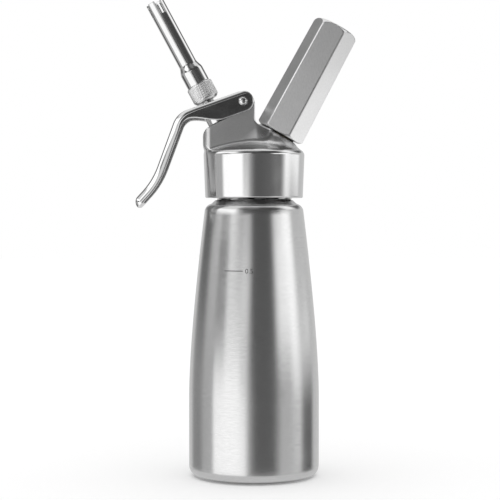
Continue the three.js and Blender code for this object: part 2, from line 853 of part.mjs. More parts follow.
function checkRetainerGeometry() {
  return sleeve(
    retainerHole, checkValveRadius, studFoot, studFoot + retainerThickness, smallSteps,
  );
}

function piercingPinGeometry() {
  const tip = chargerBase + piercingReach;
  const seat = pinSeatTop - pinSeatHeight;
  return turned([
    [piercingBore, seat], [pinSeatRadius - fit, seat], [pinSeatRadius - fit, pinSeatTop],
    [piercingRadius, pinSeatTop], [piercingRadius, tip - piercingPoint],
    [piercingBore * piercingTipShare, tip], [piercingBore, tip],
  ], smallSteps);
}

function piercingGasketGeometry() {
  const from = pinSeatTop + fit;
  return sleeve(gasketDiscHole, studBore - fit, from, from + gasketDiscThickness, turnedSteps);
}

function gasChargerGeometry() {
  const neckTop = chargerBase + chargerNeckLength;
  const shoulderTop = neckTop + chargerShoulder;
  const shell = (inset, base) => {
    const side = new THREE.Path();
    const radius = chargerRadius - inset;
    side.moveTo(inset === 0 ? chargerNeckRadius - fit : pierceRadius, base);
    side.lineTo(chargerNeckRadius - inset, base);
    side.lineTo(chargerNeckRadius - inset, neckTop + inset);
    side.quadraticCurveTo(radius, neckTop + inset, radius, shoulderTop + inset);
    side.lineTo(radius, chargerTop - chargerRadius);
    side.absarc(0, chargerTop - chargerRadius, radius, 0, Math.PI / 2, false);
    return pathPairs(side, cornerSteps);
  };
  const outer = shell(0, chargerBase);
  const inner = shell(chargerWall, chargerBase + chargerCapWall);
  return turned([[pierceRadius, chargerBase], ...outer, ...inner.toReversed()], turnedSteps);
}

function hexSection(radius) {
  const shape = new THREE.Path();
  const centreRadius = radius - holderHexCorner / Math.cos(Math.PI / 6);
  for (let i = 0; i < 6; i += 1) {
    const angle = radians(holderHexTurn) + i * Math.PI / 3;
    const centre = new THREE.Vector2(Math.cos(angle), Math.sin(angle)).multiplyScalar(centreRadius);
    shape.absarc(centre.x, centre.y, holderHexCorner, angle - Math.PI / 6, angle + Math.PI / 6, false);
  }
  return shape.getPoints(coarseSteps).slice(0, -1);
}

function chargerHolderGeometry() {
  const heights = [holderBase, holderTop];
  const hex = solidOf(loft(
    [hexSection(holderHexRadius), hexSection(holderHexTopRadius)],
    (k, { x, y }) => new THREE.Vector3(x, y, heights[k]),
  ));
  const blank = new THREE.Path();
  blank.moveTo(0, holderBase);
  blank.lineTo(holderHexRadius - holderFootRound, holderBase);
  blank.quadraticCurveTo(
    holderHexRadius, holderBase + holderFootRound / 2, holderHexRadius, holderBase + holderFootRound,
  );
  blank.lineTo(holderHexRadius, holderTop - holderTopRound);
  blank.quadraticCurveTo(
    holderHexTopRadius, holderTop, holderHexTopRadius - holderTopRound, holderTop,
  );
  blank.lineTo(0, holderTop);
  const bore = turned([
    [0, holderBase - overrun], [holderThreadBore, holderBase - overrun],
    [holderThreadBore, studTop + fit], [holderBore, studTop + fit],
    [holderBore, holderTop - holderRoof], [0, holderTop - holderRoof],
  ], turnedSteps);
  return geometryOf(hex.intersect(solidOf(turned(pathPairs(blank), bodySteps)))
    .subtract(solidOf(bore)));
}

// Finishes

function metal(color, roughness) {
  return new THREE.MeshStandardMaterial({ color, roughness, metalness: 1 });
}

function rubber(color) {
  return new THREE.MeshStandardMaterial({ color, roughness: 0.7, metalness: 0 });
}

const brushed = metal(0xb9babd, 0.32);
const satin = metal(0xa9aaac, 0.36);
const polished = metal(0xc8c9cc, 0.14);
const matt = metal(0xbfc0c2, 0.42);
const zinc = metal(0x8f9296, 0.38);
const brass = metal(0xb59a5a, 0.35);
const sealRubber = rubber(0x2a2b2d);
const redRubber = rubber(0x9c4a3c);

function piece(name, geometry, material) {
  const mesh = new THREE.Mesh(geometry, material);
  mesh.name = name;
  return mesh;
}

function group(pieces, matrix) {
  const gathered = new THREE.Group();
  gathered.add(...pieces);
  if (matrix) matrix.decompose(gathered.position, gathered.quaternion, gathered.scale);
  return gathered;
}

const bottleGroup = group([
  piece('bottle', bottleGeometry(), brushed),
  piece('neck_ring', neckRingGeometry(), satin),
]);

const valveGroup = group([
  piece('valve_stem', valveStemGeometry(), polished),
  piece('valve_seal', valveSealGeometry(), sealRubber),
  piece('stem_o_ring', stemRingGeometry(), sealRubber),
  piece('valve_spring', valveSpringGeometry(), polished),
  piece('spring_cap', springCapGeometry(), polished),
  piece('tip_ring', tipRingGeometry(), matt),
  piece('nozzle_tube', nozzleTubeGeometry(), polished),
  piece('tip_seal', tipSealGeometry(), sealRubber),
], valveFrame);

const chargerGroup = group([
  piece('inlet_stud', inletStudGeometry(), brass),
  piece('stud_washer', studWasherGeometry(), sealRubber),
  piece('check_valve', checkValveGeometry(), redRubber),
  piece('check_valve_retainer', checkRetainerGeometry(), brass),
  piece('piercing_pin', piercingPinGeometry(), polished),
  piece('piercing_gasket', piercingGasketGeometry(), sealRubber),
  piece('gas_charger', gasChargerGeometry(), zinc),
  piece('charger_holder', chargerHolderGeometry(), matt),
], chargerFrame);

const leverGroup = group([
  piece('lever', leverGeometry(), polished),
  piece('lever_pin', leverPinGeometry(), polished),
], new THREE.Matrix4().makeTranslation(pivotX, 0, pivotHeight));

const headGroup = group([
  piece('head', headGeometry(), satin),
  piece('head_gasket', headGasketGeometry(), redRubber),
  valveGroup,
  chargerGroup,
  leverGroup,
], new THREE.Matrix4().makeTranslation(0, 0, headBase));

export default group([bottleGroup, headGroup]);
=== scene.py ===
"""Looks of a whipped cream dispenser: tapered steel bottle, screw-on head, stamped lever, slotted
nozzle and hexagonal charger holder. Shapes are worked out in millimetres and set down in metres."""

import math

import bpy
import numpy as np
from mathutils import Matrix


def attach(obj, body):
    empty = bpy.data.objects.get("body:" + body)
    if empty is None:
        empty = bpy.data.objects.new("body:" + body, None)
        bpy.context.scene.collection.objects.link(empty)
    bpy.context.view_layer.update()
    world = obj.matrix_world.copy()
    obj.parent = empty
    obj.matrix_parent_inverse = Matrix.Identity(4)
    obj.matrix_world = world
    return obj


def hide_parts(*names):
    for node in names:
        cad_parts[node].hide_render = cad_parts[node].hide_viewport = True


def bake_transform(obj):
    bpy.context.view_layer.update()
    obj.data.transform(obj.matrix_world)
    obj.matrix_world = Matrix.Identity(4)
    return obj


MM = 0.001

# Radius that stands for the axis itself where a grid of points closes on it
AXIS = 0.002

# Where the head's foot is, and the two tilted axes: rise over that foot and tilt from upright
HEAD_BASE = 166.5
VALVE = (172.8, math.radians(-28.3))
CHARGER = (176.9, math.radians(28.35))

# Bottle and collar
BOTTLE_RADIUS = 39.0
BOTTLE_WALL = 1.0
BOTTLE_FLOOR = 1.6
BOTTLE_CORNER = 6.0
BOTTLE_STEPS = 256
FOOT_GROOVE = ((27.0, 0.0), (27.2, 0.5), (28.8, 0.5), (29.0, 0.0))
STRAIGHT_START = 4.0
STRAIGHT_TOP = 46.0
TAPER_TOP = 159.3
TAPER_RADIUS = 29.5
TAPER_CONTROL = 82.256
SHOULDER_CONTROL = (28.545, 162.25)
SHOULDER_RADIUS = 25.6
SHOULDER_TOP = 163.02
NECK_RADIUS = 21.0
NECK_RING_RADIUS = 23.2
NECK_RING_EDGE = 22.0
NECK_RING_HOLE = 21.3
NECK_RING_TOP = 182.8
LEDGE_TOP = 165.2
MOUTH_TOP = 184.0
COLLAR_FOOT_RADIUS = 29.2
COLLAR_TOP_RADIUS = 30.3
COLLAR_HEIGHT = 28.2
COLLAR_ROUND = 2.0
CROWN_RISE = 6.1
CROWN_CONTROL = 0.4
CAVITY_RADIUS = 23.8
CAVITY_HEIGHT = 20.5

# Mark on the bottle's front: number's size and lower left corner, line's ends and half width
FILL_HEIGHT = 123.9
FILL_NUMBER = (3.9, -5.3, -1.35)
FILL_LINE = (-17.3, -6.6, 0.22)
INK_LIFT = 0.03

# Block, lug and boss, in the head's own frame
SLAB_HALF = 13.7
SLAB_ROUND = 3.2
SLAB_END_ROUND = 4.6
SLAB_EDGE = 0.9
SLAB_NARROWING = 4.0
SLAB_NARROWS = (1.0, 18.0)
PIVOT_X = -6.5
PIVOT_HEIGHT = 56.9
LUG_RADIUS = 4.4
LUG_RIGHT = 0.3
LUG_BACK_ROUND = 5.0
LUG_FILLET = 0.8
PIN_HOLE = 2.2
VALVE_RISE = 6.3
CHARGER_RISE = 10.4
VALVE_FACE = 43.9
BOSS_FOOT = 20.0
BOSS_FOOT_RADIUS = 19.0
BOSS_FACE = 30.9
BOSS_EDGE = 0.5
BOSS_LOWEST = 12.0
BOSS_SHOULDER = 30.5
BOSS_SHOULDER_BACK = 6.0
BOSS_FLATNESS = 0.38
BOSS_FLATTENED = (18.0, 29.5)
BOSS_CURVE_RISE = (17.004, 6.104)
BOSS_CURVE_RADIUS = (11, 3.2)
SHOULDER_FILLET = 2.0
CROWN_FILLET = 2.2
BOSS_FILLET = 4.6
HEAD_FOOT_ROUND = 0.7
HOLE_EDGE = 0.3

# Bores about the valve's and the charger's axis: radius, then lowest and highest place along it
VALVE_BORES = ((7.2, -20, 19.0), (5.2, 0, 28.0), (4.2, 0, 34.0), (7.0, 34.0, 99))
CHARGER_BORES = ((1.5, 0, 20.0), (6.8, 19.3, 99))

# Lever. Shares along it count in web lengths, its slot is a radius, a length and a lowest place,
# and its moves are the lengths and turns of its outer skin.
LEVER_TILT = math.radians(19.4)
LEVER_EAR = 6.3
LEVER_SHEET = 1.5
LEVER_CORNER = 2.6
LEVER_HALF = 15.7
LEVER_GRIP_HALF = 13.2
LEVER_GRIP_CORNER = 4.6
LEVER_GRIP_DEPTH = 5.3
LEVER_WIDTH_SHARES = (1.36, 2.95)
LEVER_DEPTH_SHARES = (0.42, 1.05)
LEVER_CORNER_SHARES = (0.8, 1.5)
LEVER_EDGE = 0.7
LEVER_SHEET_EDGE = 0.2
LEVER_SLOT = (4.6, 1.2, 50)
LEVER_SLOT_EDGE = 0.4
LEVER_DULL_AND_SHADED_REACH = 0.3
LEVER_WEB = 33.03
LEVER_TIP = 4.2
LEVER_MOVES = (
    (LEVER_WEB, 0.0),
    (13.5 * math.radians(50.2), math.radians(50.2)),
    (27.0, 0.0),
    (17.0, math.radians(-22.0)),
    (5.0, 0.0),
)
LEVER_LENGTH = sum(length for length, _ in LEVER_MOVES)

# Nozzle tube: spigot in the ring, wide foot, cone, slotted mouth
SPIGOT_FOOT = 62.4
SPIGOT_TOP = 72.0
SPIGOT_RADIUS = 6.0
SPIGOT_BORE = 4.2
SPIGOT_EDGE = 0.2
TUBE_FOOT = 69.9
TUBE_FOOT_RADIUS = 7.1
TUBE_FOOT_BORE = 2.4
TUBE_FOOT_EDGE = 0.3
TUBE_RADIUS = 5.5
TUBE_BORE = 4.4
TUBE_TOP = 125.6
TUBE_TOP_EDGE = 0.35
TUBE_BORE_EDGE = 0.25
CONE = (78.2, 84.0)
BORE_CONE_FOOT = 78.8
BORE_CONE_LENGTH = 4.4
SLOT_TURNS = (-70.0, 20.0)
SLOT_DEPTH = 8.5
SLOT_HALF = 1.85
SLOT_ROUND = 0.7
SLOT_EDGE = 0.18


# Meshes

def add_object(name, points, faces, normals=None, crease=35.0):
    """A smooth-shaded mesh object from points in millimetres"""
    mesh = bpy.data.meshes.new(name)
    if isinstance(faces, np.ndarray):
        faces = faces.tolist()
    mesh.from_pydata((np.asarray(points) * MM).tolist(), [], faces)
    mesh.update()
    mesh.shade_smooth()
    if normals is None:
        mesh.set_sharp_from_angle(angle=math.radians(crease))
    else:
        mesh.normals_split_custom_set_from_vertices(normals.tolist())
    piece = bpy.data.objects.new(name, mesh)
    bpy.context.scene.collection.objects.link(piece)
    return piece


def place_on_axis(points, axis):
    """Points drawn about Z at the origin, set on one of the two tilted axes"""
    height, tilt = axis
    points = np.asarray(points, float)
    across, along = points[..., 0], points[..., 2]
    return np.stack([
        across * math.cos(tilt) + along * math.sin(tilt),
        points[..., 1],
        height - across * math.sin(tilt) + along * math.cos(tilt),
    ], -1)


def turned(outline, steps):
    """Points and faces of a closed outline of radius and height turned about Z"""
    points, rings = [], []
    for radius, height in outline:
        if radius < 1e-6:
            rings.append([len(points)] * steps)
            points.append((0.0, 0.0, height))
            continue
        start = len(points)
        rings.append(list(range(start, start + steps)))
        for i in range(steps):
            angle = 2 * math.pi * i / steps
            points.append((radius * math.cos(angle), radius * math.sin(angle), height))
    faces = []
    closed = outline[0][0] > 1e-6
    last = len(rings) if closed else len(rings) - 1
    for k in range(last):
        lower, upper = rings[k], rings[(k + 1) % len(rings)]
        for i in range(steps):
            j = (i + 1) % steps
            corners = list(dict.fromkeys([lower[i], lower[j], upper[j], upper[i]]))
            if len(corners) > 2:
                faces.append(corners)
    return np.array(points), faces


def swept(grid, wrap_rows=False):
    """Points and faces of a grid of points that closes along its second direction"""
    rows, columns = grid.shape[:2]
    number = np.arange(rows * columns).reshape(rows, columns)
    below = number if wrap_rows else number[:-1]
    above = np.roll(number, -1, 0) if wrap_rows else number[1:]
    faces = np.stack([
        below, np.roll(below, -1, 1), np.roll(above, -1, 1), above,
    ], -1).reshape(-1, 4)
    return grid.reshape(-1, 3), faces


def quadratic(start, control, end, steps):
    """Places along a curve with one control point, without its start"""
    t = np.linspace(0, 1, steps + 1)[1:, None]
    start, control, end = np.array(start), np.array(control), np.array(end)
    curve = start * (1 - t) ** 2 + 2 * control * t * (1 - t) + end * t ** 2
    return [tuple(place) for place in curve]


def rounded(corners, radius):
    """An open outline whose inner corners are each replaced by a small arc-like curve"""
    outline = [corners[0]]
    for before, corner, after in zip(corners, corners[1:], corners[2:]):
        before, corner, after = (np.array(place, float) for place in (before, corner, after))
        back, on = before - corner, after - corner
        reach = min(radius, np.linalg.norm(back) / 2, np.linalg.norm(on) / 2)
        start = corner + back / np.linalg.norm(back) * reach
        end = corner + on / np.linalg.norm(on) * reach
        outline.append(tuple(start))
        outline.extend(quadratic(start, corner, end, 4))
    outline.append(corners[-1])
    return outline


# Solids given by a field that is negative inside

def smooth_share(value, low, high):
    """0 below the first limit and 1 above the second, with a smooth step between"""
    share = np.clip((value - low) / (high - low), 0, 1)
    return share * share * (3 - 2 * share)


def round_max(a, b, radius):
    """What two solids share, with the edge between them rounded"""
    outside = np.hypot(np.maximum(a + radius, 0), np.maximum(b + radius, 0))
    return np.minimum(np.maximum(a, b), -radius) + outside


def blend_min(a, b, reach):
    """Two solids joined, with a fillet where they meet"""
    share = np.clip(0.5 + (b - a) / (2 * reach), 0, 1)
    return b + (a - b) * share - reach * share * (1 - share)


def slope_of(field, points, step):
    """Gradient of a field at each point"""
    slopes = []
    for axis in range(3):
        shift = np.zeros(3)
        shift[axis] = step
        slopes.append((field(*(points + shift).T) - field(*(points - shift).T)) / (2 * step))
    return np.stack(slopes, -1)


def solid_surface(field, low, high, step):
    """Points, faces and normals of a field's zero surface: one point in each cell that it crosses,
    then moved onto the surface"""
    axes = [np.arange(a, b + step, step) for a, b in zip(low, high)]
    values = field(*np.meshgrid(*axes, indexing="ij", sparse=True)).astype(np.float32)
    inside = values < 0
    cells = np.array(values.shape) - 1
    corners = [(i, j, k) for i in (0, 1) for j in (0, 1) for k in (0, 1)]
    count = np.zeros(cells, np.uint8)
    for i, j, k in corners:
        count += inside[i:cells[0] + i, j:cells[1] + j, k:cells[2] + k]
    mixed = (count > 0) & (count < 8)
    where = np.argwhere(mixed)
    number = np.full(cells, -1, np.int64)
    number[mixed] = np.arange(len(where))
    total = np.zeros((len(where), 3))
    hits = np.zeros(len(where))
    for a in corners:
        for axis in range(3):
            if a[axis]:
                continue
            b = tuple(1 if d == axis else a[d] for d in range(3))
            first = values[tuple((where + a).T)]
            second = values[tuple((where + b).T)]
            crossed = (first < 0) != (second < 0)
            share = np.where(crossed, first / np.where(crossed, first - second, 1), 0)
            place = np.array(a, float) + np.eye(3)[axis] * share[:, None]
            total += place * crossed[:, None]
            hits += crossed
    points = np.array(low) + (where + total / hits[:, None]) * step
    faces = []
    for axis in range(3):
        u, v = (axis + 1) % 3, (axis + 2) % 3
        near = [slice(None)] * 3
        near[axis] = slice(0, -1)
        far = [slice(None)] * 3
        far[axis] = slice(1, None)
        at = np.argwhere(inside[tuple(near)] != inside[tuple(far)])
        at = at[(at[:, u] > 0) & (at[:, u] < cells[u]) & (at[:, v] > 0) & (at[:, v] < cells[v])]
        du, dv = np.eye(3, dtype=int)[u], np.eye(3, dtype=int)[v]
        ring = [number[tuple((at - shift).T)] for shift in (0 * du, du, du + dv, dv)]
        quads = np.stack(ring, -1)
        out = inside[tuple(at.T)]
        quads[~out] = quads[~out][:, ::-1]
        faces.append(quads)
    probe = step / 12
    for _ in range(3):
        slope = slope_of(field, points, probe)
        size = np.maximum((slope ** 2).sum(-1), 0.05)
        move = slope * (field(*points.T) / size)[:, None]
        length = np.linalg.norm(move, axis=-1, keepdims=True)
        points -= move * np.minimum(1, step * 0.6 / np.maximum(length, 1e-9))
    normals = slope_of(field, points, probe)
    normals /= np.maximum(np.linalg.norm(normals, axis=-1, keepdims=True), 1e-9)
    return points, np.concatenate(faces), normals


def side_places(x, z, rise, tilt):
    """Distances across and along a tilted axis, for points of the head's side view"""
    across = x * math.cos(tilt) - (z - rise) * math.sin(tilt)
    along = x * math.sin(tilt) + (z - rise) * math.cos(tilt)
    return across, along


# Bottle

def bottle_outline(inset, floor, steps):
    """Radius and height from the foot's centre to the mouth, outside or one wall further in"""
    radius = BOTTLE_RADIUS - inset
    corner = BOTTLE_CORNER - inset
    outline = [(0.0, floor)]
    if inset == 0:
        outline += FOOT_GROOVE
    outline.append((radius - corner, floor))
    for i in range(1, steps + 1):
        angle = math.pi / 2 * i / steps
        outline.append((
            radius - corner + corner * math.sin(angle), floor + corner - corner * math.cos(angle),
        ))
    straight = np.linspace(floor + corner + STRAIGHT_START, STRAIGHT_TOP, 8)
    outline += [(radius, place) for place in straight]
    taper_end = (TAPER_RADIUS - inset, TAPER_TOP)
    outline += quadratic((radius, STRAIGHT_TOP), (radius, TAPER_CONTROL), taper_end, steps * 4)
    outline += quadratic(
        taper_end, tuple(place - inset for place in SHOULDER_CONTROL),
        (SHOULDER_RADIUS - inset, SHOULDER_TOP - inset), steps,
    )
    outline += [
        (NECK_RING_RADIUS - inset, LEDGE_TOP - inset), (NECK_RADIUS - inset, LEDGE_TOP - inset),
        (NECK_RADIUS - inset, MOUTH_TOP),
    ]
    return outline


def bottle_radius_at(height):
    """Outer radius of the bottle between its foot's corner and its shoulder"""
    if height <= STRAIGHT_TOP:
        return BOTTLE_RADIUS
    a = STRAIGHT_TOP - 2 * TAPER_CONTROL + TAPER_TOP
    b = 2 * (TAPER_CONTROL - STRAIGHT_TOP)
    c = STRAIGHT_TOP - height
    t = (-b + math.sqrt(b * b - 4 * a * c)) / (2 * a)
    return BOTTLE_RADIUS * (1 - t * t) + TAPER_RADIUS * t * t


def make_bottle():
    outer = bottle_outline(0, 0, 12)
    inner = bottle_outline(BOTTLE_WALL, BOTTLE_FLOOR, 8)
    points, faces = turned(outer + inner[::-1], BOTTLE_STEPS)
    return add_object("bottle_shell", points, faces, crease=28.0)


def make_fill_mark():
    """A level line with its plain number, printed on the bottle's front"""
    size, left, below = FILL_NUMBER
    curve = bpy.data.curves.new("fill_number", "FONT")
    curve.body = "0.5"
    curve.size = size * MM
    curve.resolution_u = 6
    text = bpy.data.objects.new("fill_number", curve)
    bpy.context.scene.collection.objects.link(text)
    bpy.context.view_layer.update()
    shape = bpy.data.meshes.new_from_object(text)
    flat = np.array([vertex.co[:2] for vertex in shape.vertices]) / MM
    faces = [list(face.vertices) for face in shape.polygons]
    bpy.data.objects.remove(text)
    flat += np.array([left, below])

    first, last, half = FILL_LINE
    columns = 40
    start = len(flat)
    line = [(x, y) for y in (-half, half) for x in np.linspace(first, last, columns)]
    flat = np.concatenate([flat, np.array(line)])
    for i in range(start, start + columns - 1):
        faces.append([i, i + 1, i + columns + 1, i + columns])
    points = []
    for across, up in flat:
        radius = bottle_radius_at(FILL_HEIGHT + up) + INK_LIFT
        points.append((across, -math.sqrt(radius ** 2 - across ** 2), FILL_HEIGHT + up))
    return add_object("fill_mark", points, faces)


def round_angles(steps):
    """A row of evenly spread angles"""
    return np.linspace(0, 2 * math.pi, steps, endpoint=False)[None, :]


def rings_of(radius, angles, heights):
    """Grid of points from radius, angle and height, which may each be a grid or a single line"""
    return np.stack([radius * np.cos(angles), radius * np.sin(angles), heights + 0 * angles], -1)


def thread_rows(crest, depth, pitch, low, high, steps, rows_per_turn, taper):
    """Grid of points on a right-hand thread between two heights, fading out at both ends. Its form
    is a cosine with flattened crests and roots."""
    rows = max(4, int(round((high - low) / pitch * rows_per_turn)))
    heights = np.linspace(low, high, rows + 1)[:, None]
    angles = round_angles(steps)
    phase = np.mod(heights / pitch - angles / (2 * math.pi), 1)
    groove = np.clip(1.6 * np.cos(2 * math.pi * phase) + 0.1, -1, 1) * 0.5 + 0.5
    fade = np.clip(np.minimum(heights - low, high - heights) / taper, 0, 1)
    return rings_of(crest - depth * np.maximum(groove, 1 - fade), angles, heights)


def ring_rows(outline, steps):
    """Grid of plain rings from pairs of radius and height"""
    angles = np.linspace(0, 2 * math.pi, steps, endpoint=False)
    return np.array([
        [(radius * math.cos(a), radius * math.sin(a), height) for a in angles]
        for radius, height in outline
    ])


def make_neck_ring():
    """Ring on the bottle's neck with the head's thread"""
    steps = 192
    low, high = LEDGE_TOP, NECK_RING_TOP
    rows = np.concatenate([
        ring_rows([(NECK_RING_HOLE, low), (NECK_RING_EDGE, low)], steps),
        thread_rows(crest=NECK_RING_RADIUS, depth=1.1, pitch=4.0, low=low + 0.1, high=high - 0.1,
                    steps=steps, rows_per_turn=14, taper=1.6),
        ring_rows([(NECK_RING_EDGE, high), (NECK_RING_HOLE, high)], steps),
    ])
    points, faces = swept(rows, wrap_rows=True)
    return add_object("neck_ring_threaded", points, faces, crease=50.0)


# Head

def crown_height(radius):
    """Height of the collar's domed top, by its curve from the rim to the axis"""
    reach = COLLAR_TOP_RADIUS - COLLAR_ROUND
    control = COLLAR_TOP_RADIUS * CROWN_CONTROL
    a = reach - 2 * control
    b = 2 * control
    share = (-b + np.sqrt(b * b + 4 * a * np.minimum(radius, reach * 1.2))) / (2 * a)
    return COLLAR_HEIGHT + CROWN_RISE * (1 - share ** 2)


def boss_radius(along):
    """Radius of the flared boss, by its curve from the foot to the face"""
    b, a = BOSS_CURVE_RISE
    linear, square = BOSS_CURVE_RADIUS
    root = np.sqrt(np.maximum(b ** 2 - 4 * a * (along - BOSS_FOOT), 1))
    share = np.clip((b - root) / (2 * a), -0.1, 1)
    return BOSS_FOOT_RADIUS - linear * share + square * share ** 2


def bore(radius_of_point, along, radius, low, high):
    return np.maximum(radius_of_point - radius, np.maximum(low - along, along - high))


def head_field(x, y, z):
    """The head: collar and crown, flat-sided block with its lug, boss, and all their bores. Two of
    its fields are scaled down, so that their slope stays near 1."""
    radius = np.hypot(x, y)
    lean = (COLLAR_TOP_RADIUS - COLLAR_FOOT_RADIUS) / COLLAR_HEIGHT
    flank = radius - COLLAR_FOOT_RADIUS - np.minimum(z, COLLAR_HEIGHT) * lean
    flank = flank - np.maximum(z - COLLAR_HEIGHT, 0)
    crown = (z - crown_height(radius)) * 0.97

    valve_across, valve_along = side_places(x, z, VALVE_RISE, VALVE[1])
    charger_across, charger_along = side_places(x, z, CHARGER_RISE, CHARGER[1])
    left = -COLLAR_TOP_RADIUS - x
    block = round_max(left, valve_along - VALVE_FACE, SLAB_ROUND)
    block = np.maximum(block, x - LUG_RIGHT)
    lug_top = z - PIVOT_HEIGHT - LUG_RADIUS
    lug = round_max(PIVOT_X - LUG_RADIUS - x, lug_top, LUG_RADIUS)
    lug = round_max(lug, x - LUG_RIGHT, LUG_BACK_ROUND)
    shoulder = np.maximum(charger_along - BOSS_SHOULDER, charger_across + BOSS_SHOULDER_BACK)
    shoulder = np.maximum(shoulder, PIVOT_X - x)
    side = blend_min(blend_min(block, lug, LUG_FILLET), shoulder, SHOULDER_FILLET)
    beside = np.abs(y) - (SLAB_HALF - SLAB_NARROWING * smooth_share(x, *SLAB_NARROWS))
    slab = round_max(side, beside, SLAB_EDGE)
    slab = np.maximum(slab, round_max(left, beside, SLAB_END_ROUND))

    flatness = 1 + BOSS_FLATNESS * (1 - smooth_share(charger_along, *BOSS_FLATTENED))
    flattened = np.hypot(charger_across, y * flatness)
    boss = (flattened - boss_radius(charger_along)) * 0.7
    boss = round_max(boss, charger_along - BOSS_FACE, BOSS_EDGE)
    boss = np.maximum(boss, BOSS_LOWEST - z)
    body = blend_min(blend_min(crown, slab, CROWN_FILLET), boss, BOSS_FILLET)
    body = round_max(round_max(body, flank, COLLAR_ROUND), -z, HEAD_FOOT_ROUND)

    hollow = np.maximum(radius - CAVITY_RADIUS, z - CAVITY_HEIGHT)
    for across, along, bores in (
        (valve_across, valve_along, VALVE_BORES), (charger_across, charger_along, CHARGER_BORES),
    ):
        distance = np.hypot(across, y)
        for size, low, high in bores:
            hollow = np.minimum(hollow, bore(distance, along, size, low, high))
    hollow = np.minimum(hollow, np.hypot(x - PIVOT_X, z - PIVOT_HEIGHT) - PIN_HOLE)
    return round_max(body, -hollow, HOLE_EDGE)


def make_head():
    points, faces, normals = solid_surface(
        head_field, low=(-31, -31, -1), high=(31, 31, 62.5), step=0.42,
    )
    points[:, 2] += HEAD_BASE
    return add_object("head_body", points, faces, normals)


# Lever

def lever_places(x, z):
    """Distance along the lever's outer skin and depth below it, for points of the side view"""
    heading = math.pi + LEVER_TILT
    at = np.array([-math.sin(LEVER_TILT), math.cos(LEVER_TILT)]) * LEVER_EAR
    travelled = 0.0
    nearest = along = depth = None
    for number, (length, turn) in enumerate(LEVER_MOVES):
        ahead = np.array([math.cos(heading), math.sin(heading)])
        left = np.array([-ahead[1], ahead[0]])
        if turn == 0:
            dx, dz = x - at[0], z - at[1]
            run = dx * ahead[0] + dz * ahead[1]
            off = dx * left[0] + dz * left[1]
            low = -np.inf if number == 0 else 0
            high = np.inf if number == len(LEVER_MOVES) - 1 else length
            gap = np.hypot(run - np.clip(run, low, high), off)
            at = at + ahead * length
        else:
            radius = length / turn
            centre = at + left * radius
            dx, dz = x - centre[0], z - centre[1]
            start = math.atan2(-left[1] * radius, -left[0] * radius)
            angle = np.arctan2(dz, dx) - start
            angle = np.arctan2(np.sin(angle), np.cos(angle)) * np.sign(radius)
            run = angle * abs(radius)
            off = (abs(radius) - np.hypot(dx, dz)) * np.sign(radius)
            gap = np.where((run >= 0) & (run <= length), np.abs(off), np.inf)
            swing = np.array([math.sin(turn), 1 - math.cos(turn)])
            at = at + (ahead * swing[0] + left * swing[1]) * radius
            heading += turn
        run = run + travelled
        travelled += length
        if nearest is None:
            nearest, along, depth = gap, run, off
        else:
            better = gap < nearest
            nearest = np.where(better, gap, nearest)
            along = np.where(better, run, along)
            depth = np.where(better, off, depth)
    return along, depth


def lever_skins(x, y, z):
    """Fields of the lever's outer and inner skin, distance along it, and height over its edge"""
    along, depth = lever_places(x, z)
    share = along / LEVER_WEB

    def drawn(start, end, shares):
        return start + (end - start) * smooth_share(share, *shares)

    width = drawn(LEVER_HALF, LEVER_GRIP_HALF, LEVER_WIDTH_SHARES)
    deep = drawn(2 * LEVER_EAR, LEVER_GRIP_DEPTH, LEVER_DEPTH_SHARES)
    corner = drawn(LEVER_CORNER, LEVER_GRIP_CORNER, LEVER_CORNER_SHARES)
    beside = np.abs(y) - width
    end = along - LEVER_LENGTH - LEVER_TIP
    outer = round_max(round_max(beside, end, LEVER_TIP), -depth, corner)
    under = np.minimum(LEVER_SHEET - depth, along)
    inner = round_max(beside + LEVER_SHEET, under, corner - LEVER_SHEET)
    inner = round_max(inner, along - LEVER_LENGTH, 1.0)
    return outer, inner, along, depth - deep


def lever_field(x, y, z):
    """The lever about its pivot: sheet between the two skins, with round ears, slot and pin hole"""
    outer, inner, along, below = lever_skins(x, y, z)
    pivot_distance = np.hypot(x, z)
    outline = np.minimum(np.maximum(-along, below), pivot_distance - LEVER_EAR)
    lever = round_max(round_max(outer, -inner, LEVER_SHEET_EDGE), outline, LEVER_EDGE)
    across, up = side_places(x + PIVOT_X, z + PIVOT_HEIGHT, VALVE_RISE, VALVE[1])
    radius, length, lowest = LEVER_SLOT
    slot = np.hypot(across - np.clip(across, 0, length), y) - radius
    slot = np.maximum(slot, lowest - up)
    lever = round_max(lever, -slot, LEVER_SLOT_EDGE)
    return round_max(lever, PIN_HOLE - pivot_distance, HOLE_EDGE)


def at_pivot(points):
    """Points drawn about the lever's pivot, set in the frame"""
    return points + np.array([PIVOT_X, 0, PIVOT_HEIGHT + HEAD_BASE])


def make_lever(polished, dull_and_shaded):
    """Lever pressed from sheet, polished outside; inside the channel its steel is rougher, and its
    darker colour there is painted shade
    """
    points, faces, normals = solid_surface(
        lever_field, low=(-66, -16.5, -66), high=(7.5, 16.5, 7.5), step=0.4,
    )
    middles = points[faces].mean(axis=1)
    # Faces within reach of the inner skin are the channel's inside, whose material is rougher and
    # carries painted shade
    inside = lever_skins(*middles.T)[1] < LEVER_DULL_AND_SHADED_REACH
    lever = add_object("lever_stamped", at_pivot(points), faces, normals)
    dress(lever, polished, "lever", "polished_steel", "lever")
    lever.data.materials.append(dull_and_shaded)
    lever.data.polygons.foreach_set("material_index", inside.astype(np.int32))


def make_lever_pin():
    """Riveted pin whose heads are low domes on a narrow rim"""
    half = [(0.0, 17.0)]
    half += quadratic((0.0, 17.0), (1.5, 17.0), (1.9, 16.5), 8)
    half += [(2.05, 16.35)]
    half += quadratic((2.05, 16.35), (2.5, 16.4), (2.5, 16.1), 4)
    half += [(2.5, 16.0), (1.9, 16.0)]
    outline = [(radius, -height) for radius, height in half] + half[::-1]
    points, faces = turned(outline, 64)
    crosswise = np.stack([points[:, 0], -points[:, 2], points[:, 1]], -1)
    return add_object("lever_pin_riveted", at_pivot(crosswise), faces)


# Valve and nozzle

